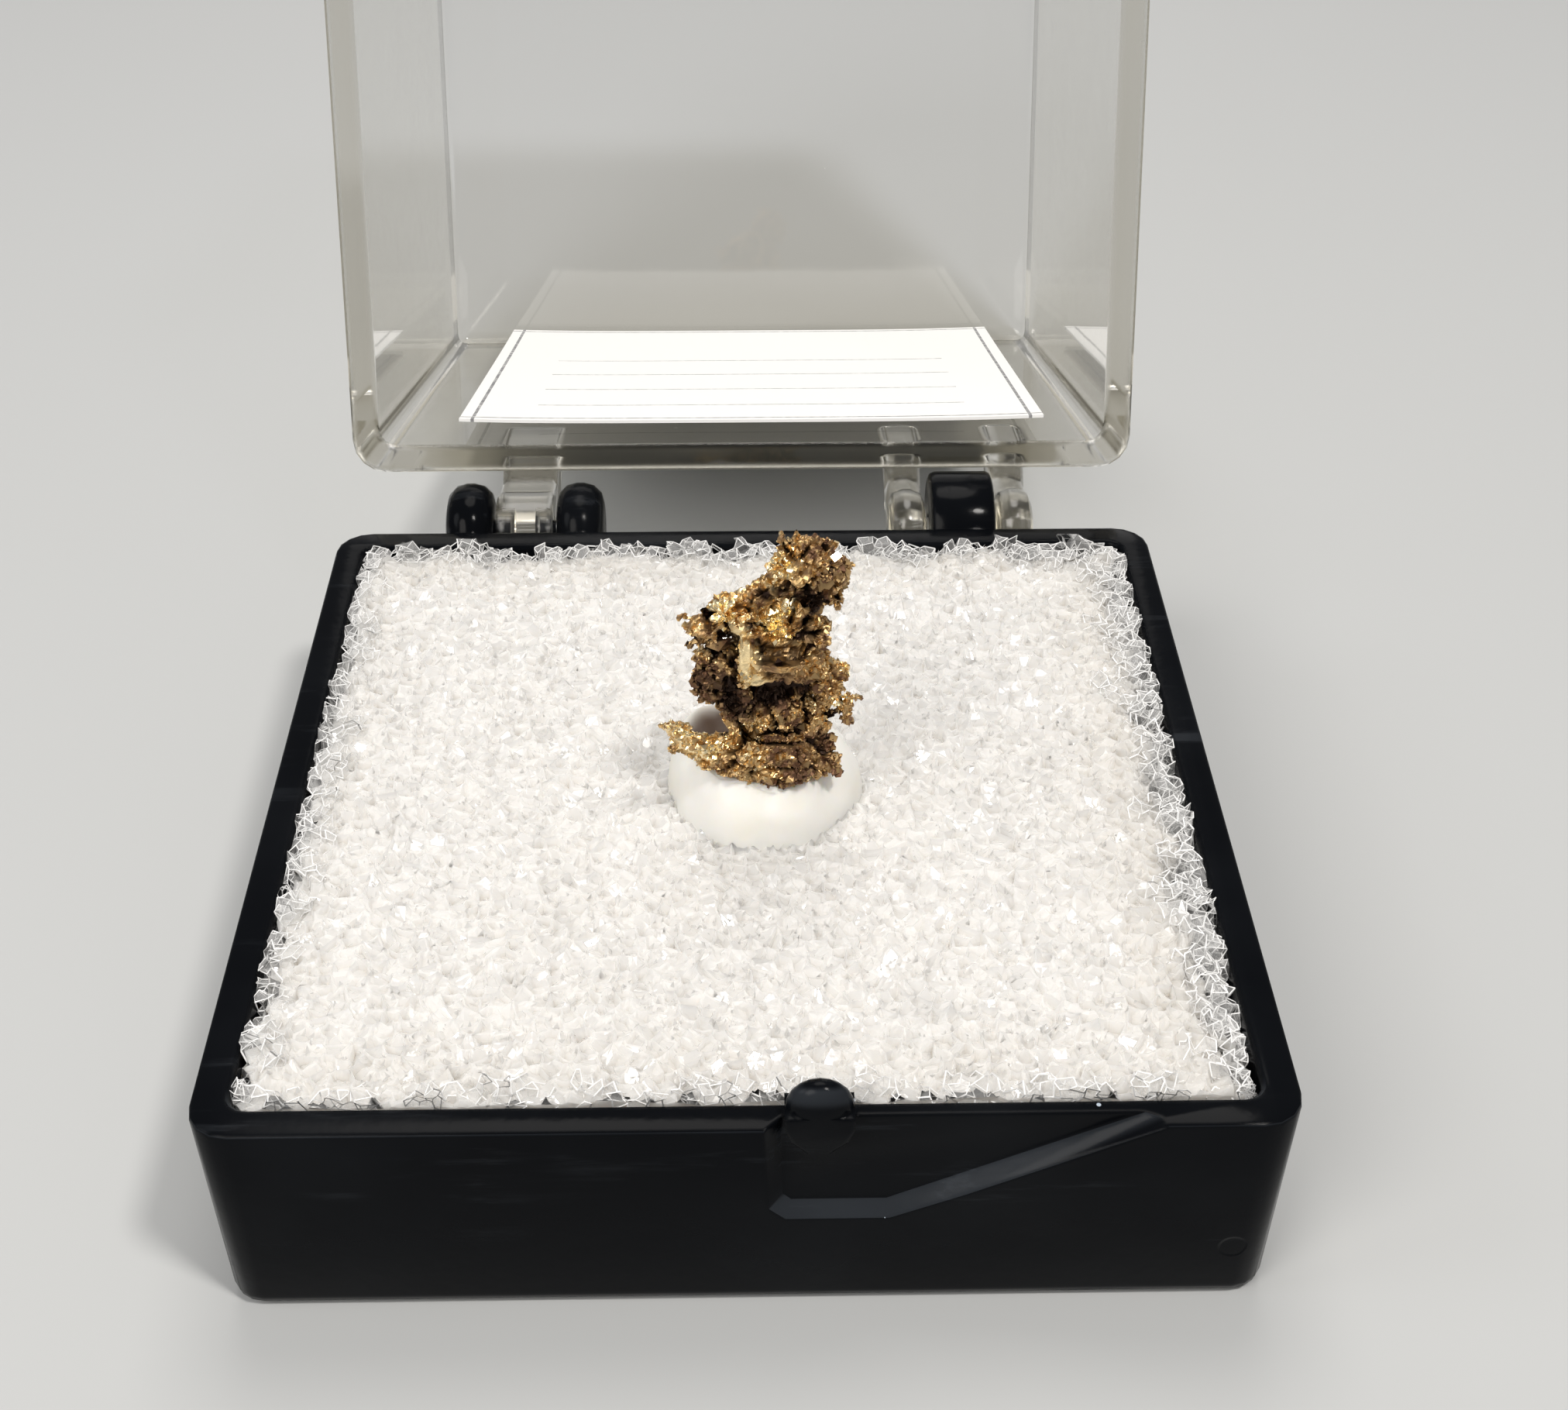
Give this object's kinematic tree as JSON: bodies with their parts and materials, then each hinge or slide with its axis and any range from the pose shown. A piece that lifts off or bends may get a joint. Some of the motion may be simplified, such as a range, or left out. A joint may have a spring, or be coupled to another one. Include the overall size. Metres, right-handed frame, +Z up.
{
  "type": "native metal specimen in a hinged display box",
  "caption": "Crystallised native metal specimen held in cream putty on white foam, in a square black tray whose clear lid stands open on a rear hinge",
  "frame": {"origin": "Centre of the tray's flat underside", "axes": "+Z is up, +Y points back to the hinge and the open lid, and the latch is on the -Y front; +X is the viewer's right"},
  "size_m": [0.032, 0.0715, 0.0384],
  "materials": {
    "black_plastic": "gloss",
    "white_foam": "matte",
    "cream_putty": "satin",
    "native_metal": "satin",
    "clear_plastic": "gloss",
    "label_paper": "matte"
  },
  "bodies": {
    "base": {"base_tray": "black_plastic", "foam_insert": "white_foam", "mineral_putty": "cream_putty", "native_metal_specimen": "native_metal"},
    "lid": {"clear_lid": "clear_plastic", "paper_label": "label_paper"}
  },
  "joints": [
    {"name": "lid_hinge", "type": "hinge", "parent": "base", "child": "lid", "pos_m": [0, 0.01815, 0.0065], "axis": [1, 0, 0], "range_deg": [0, 108.2]}
  ]
}
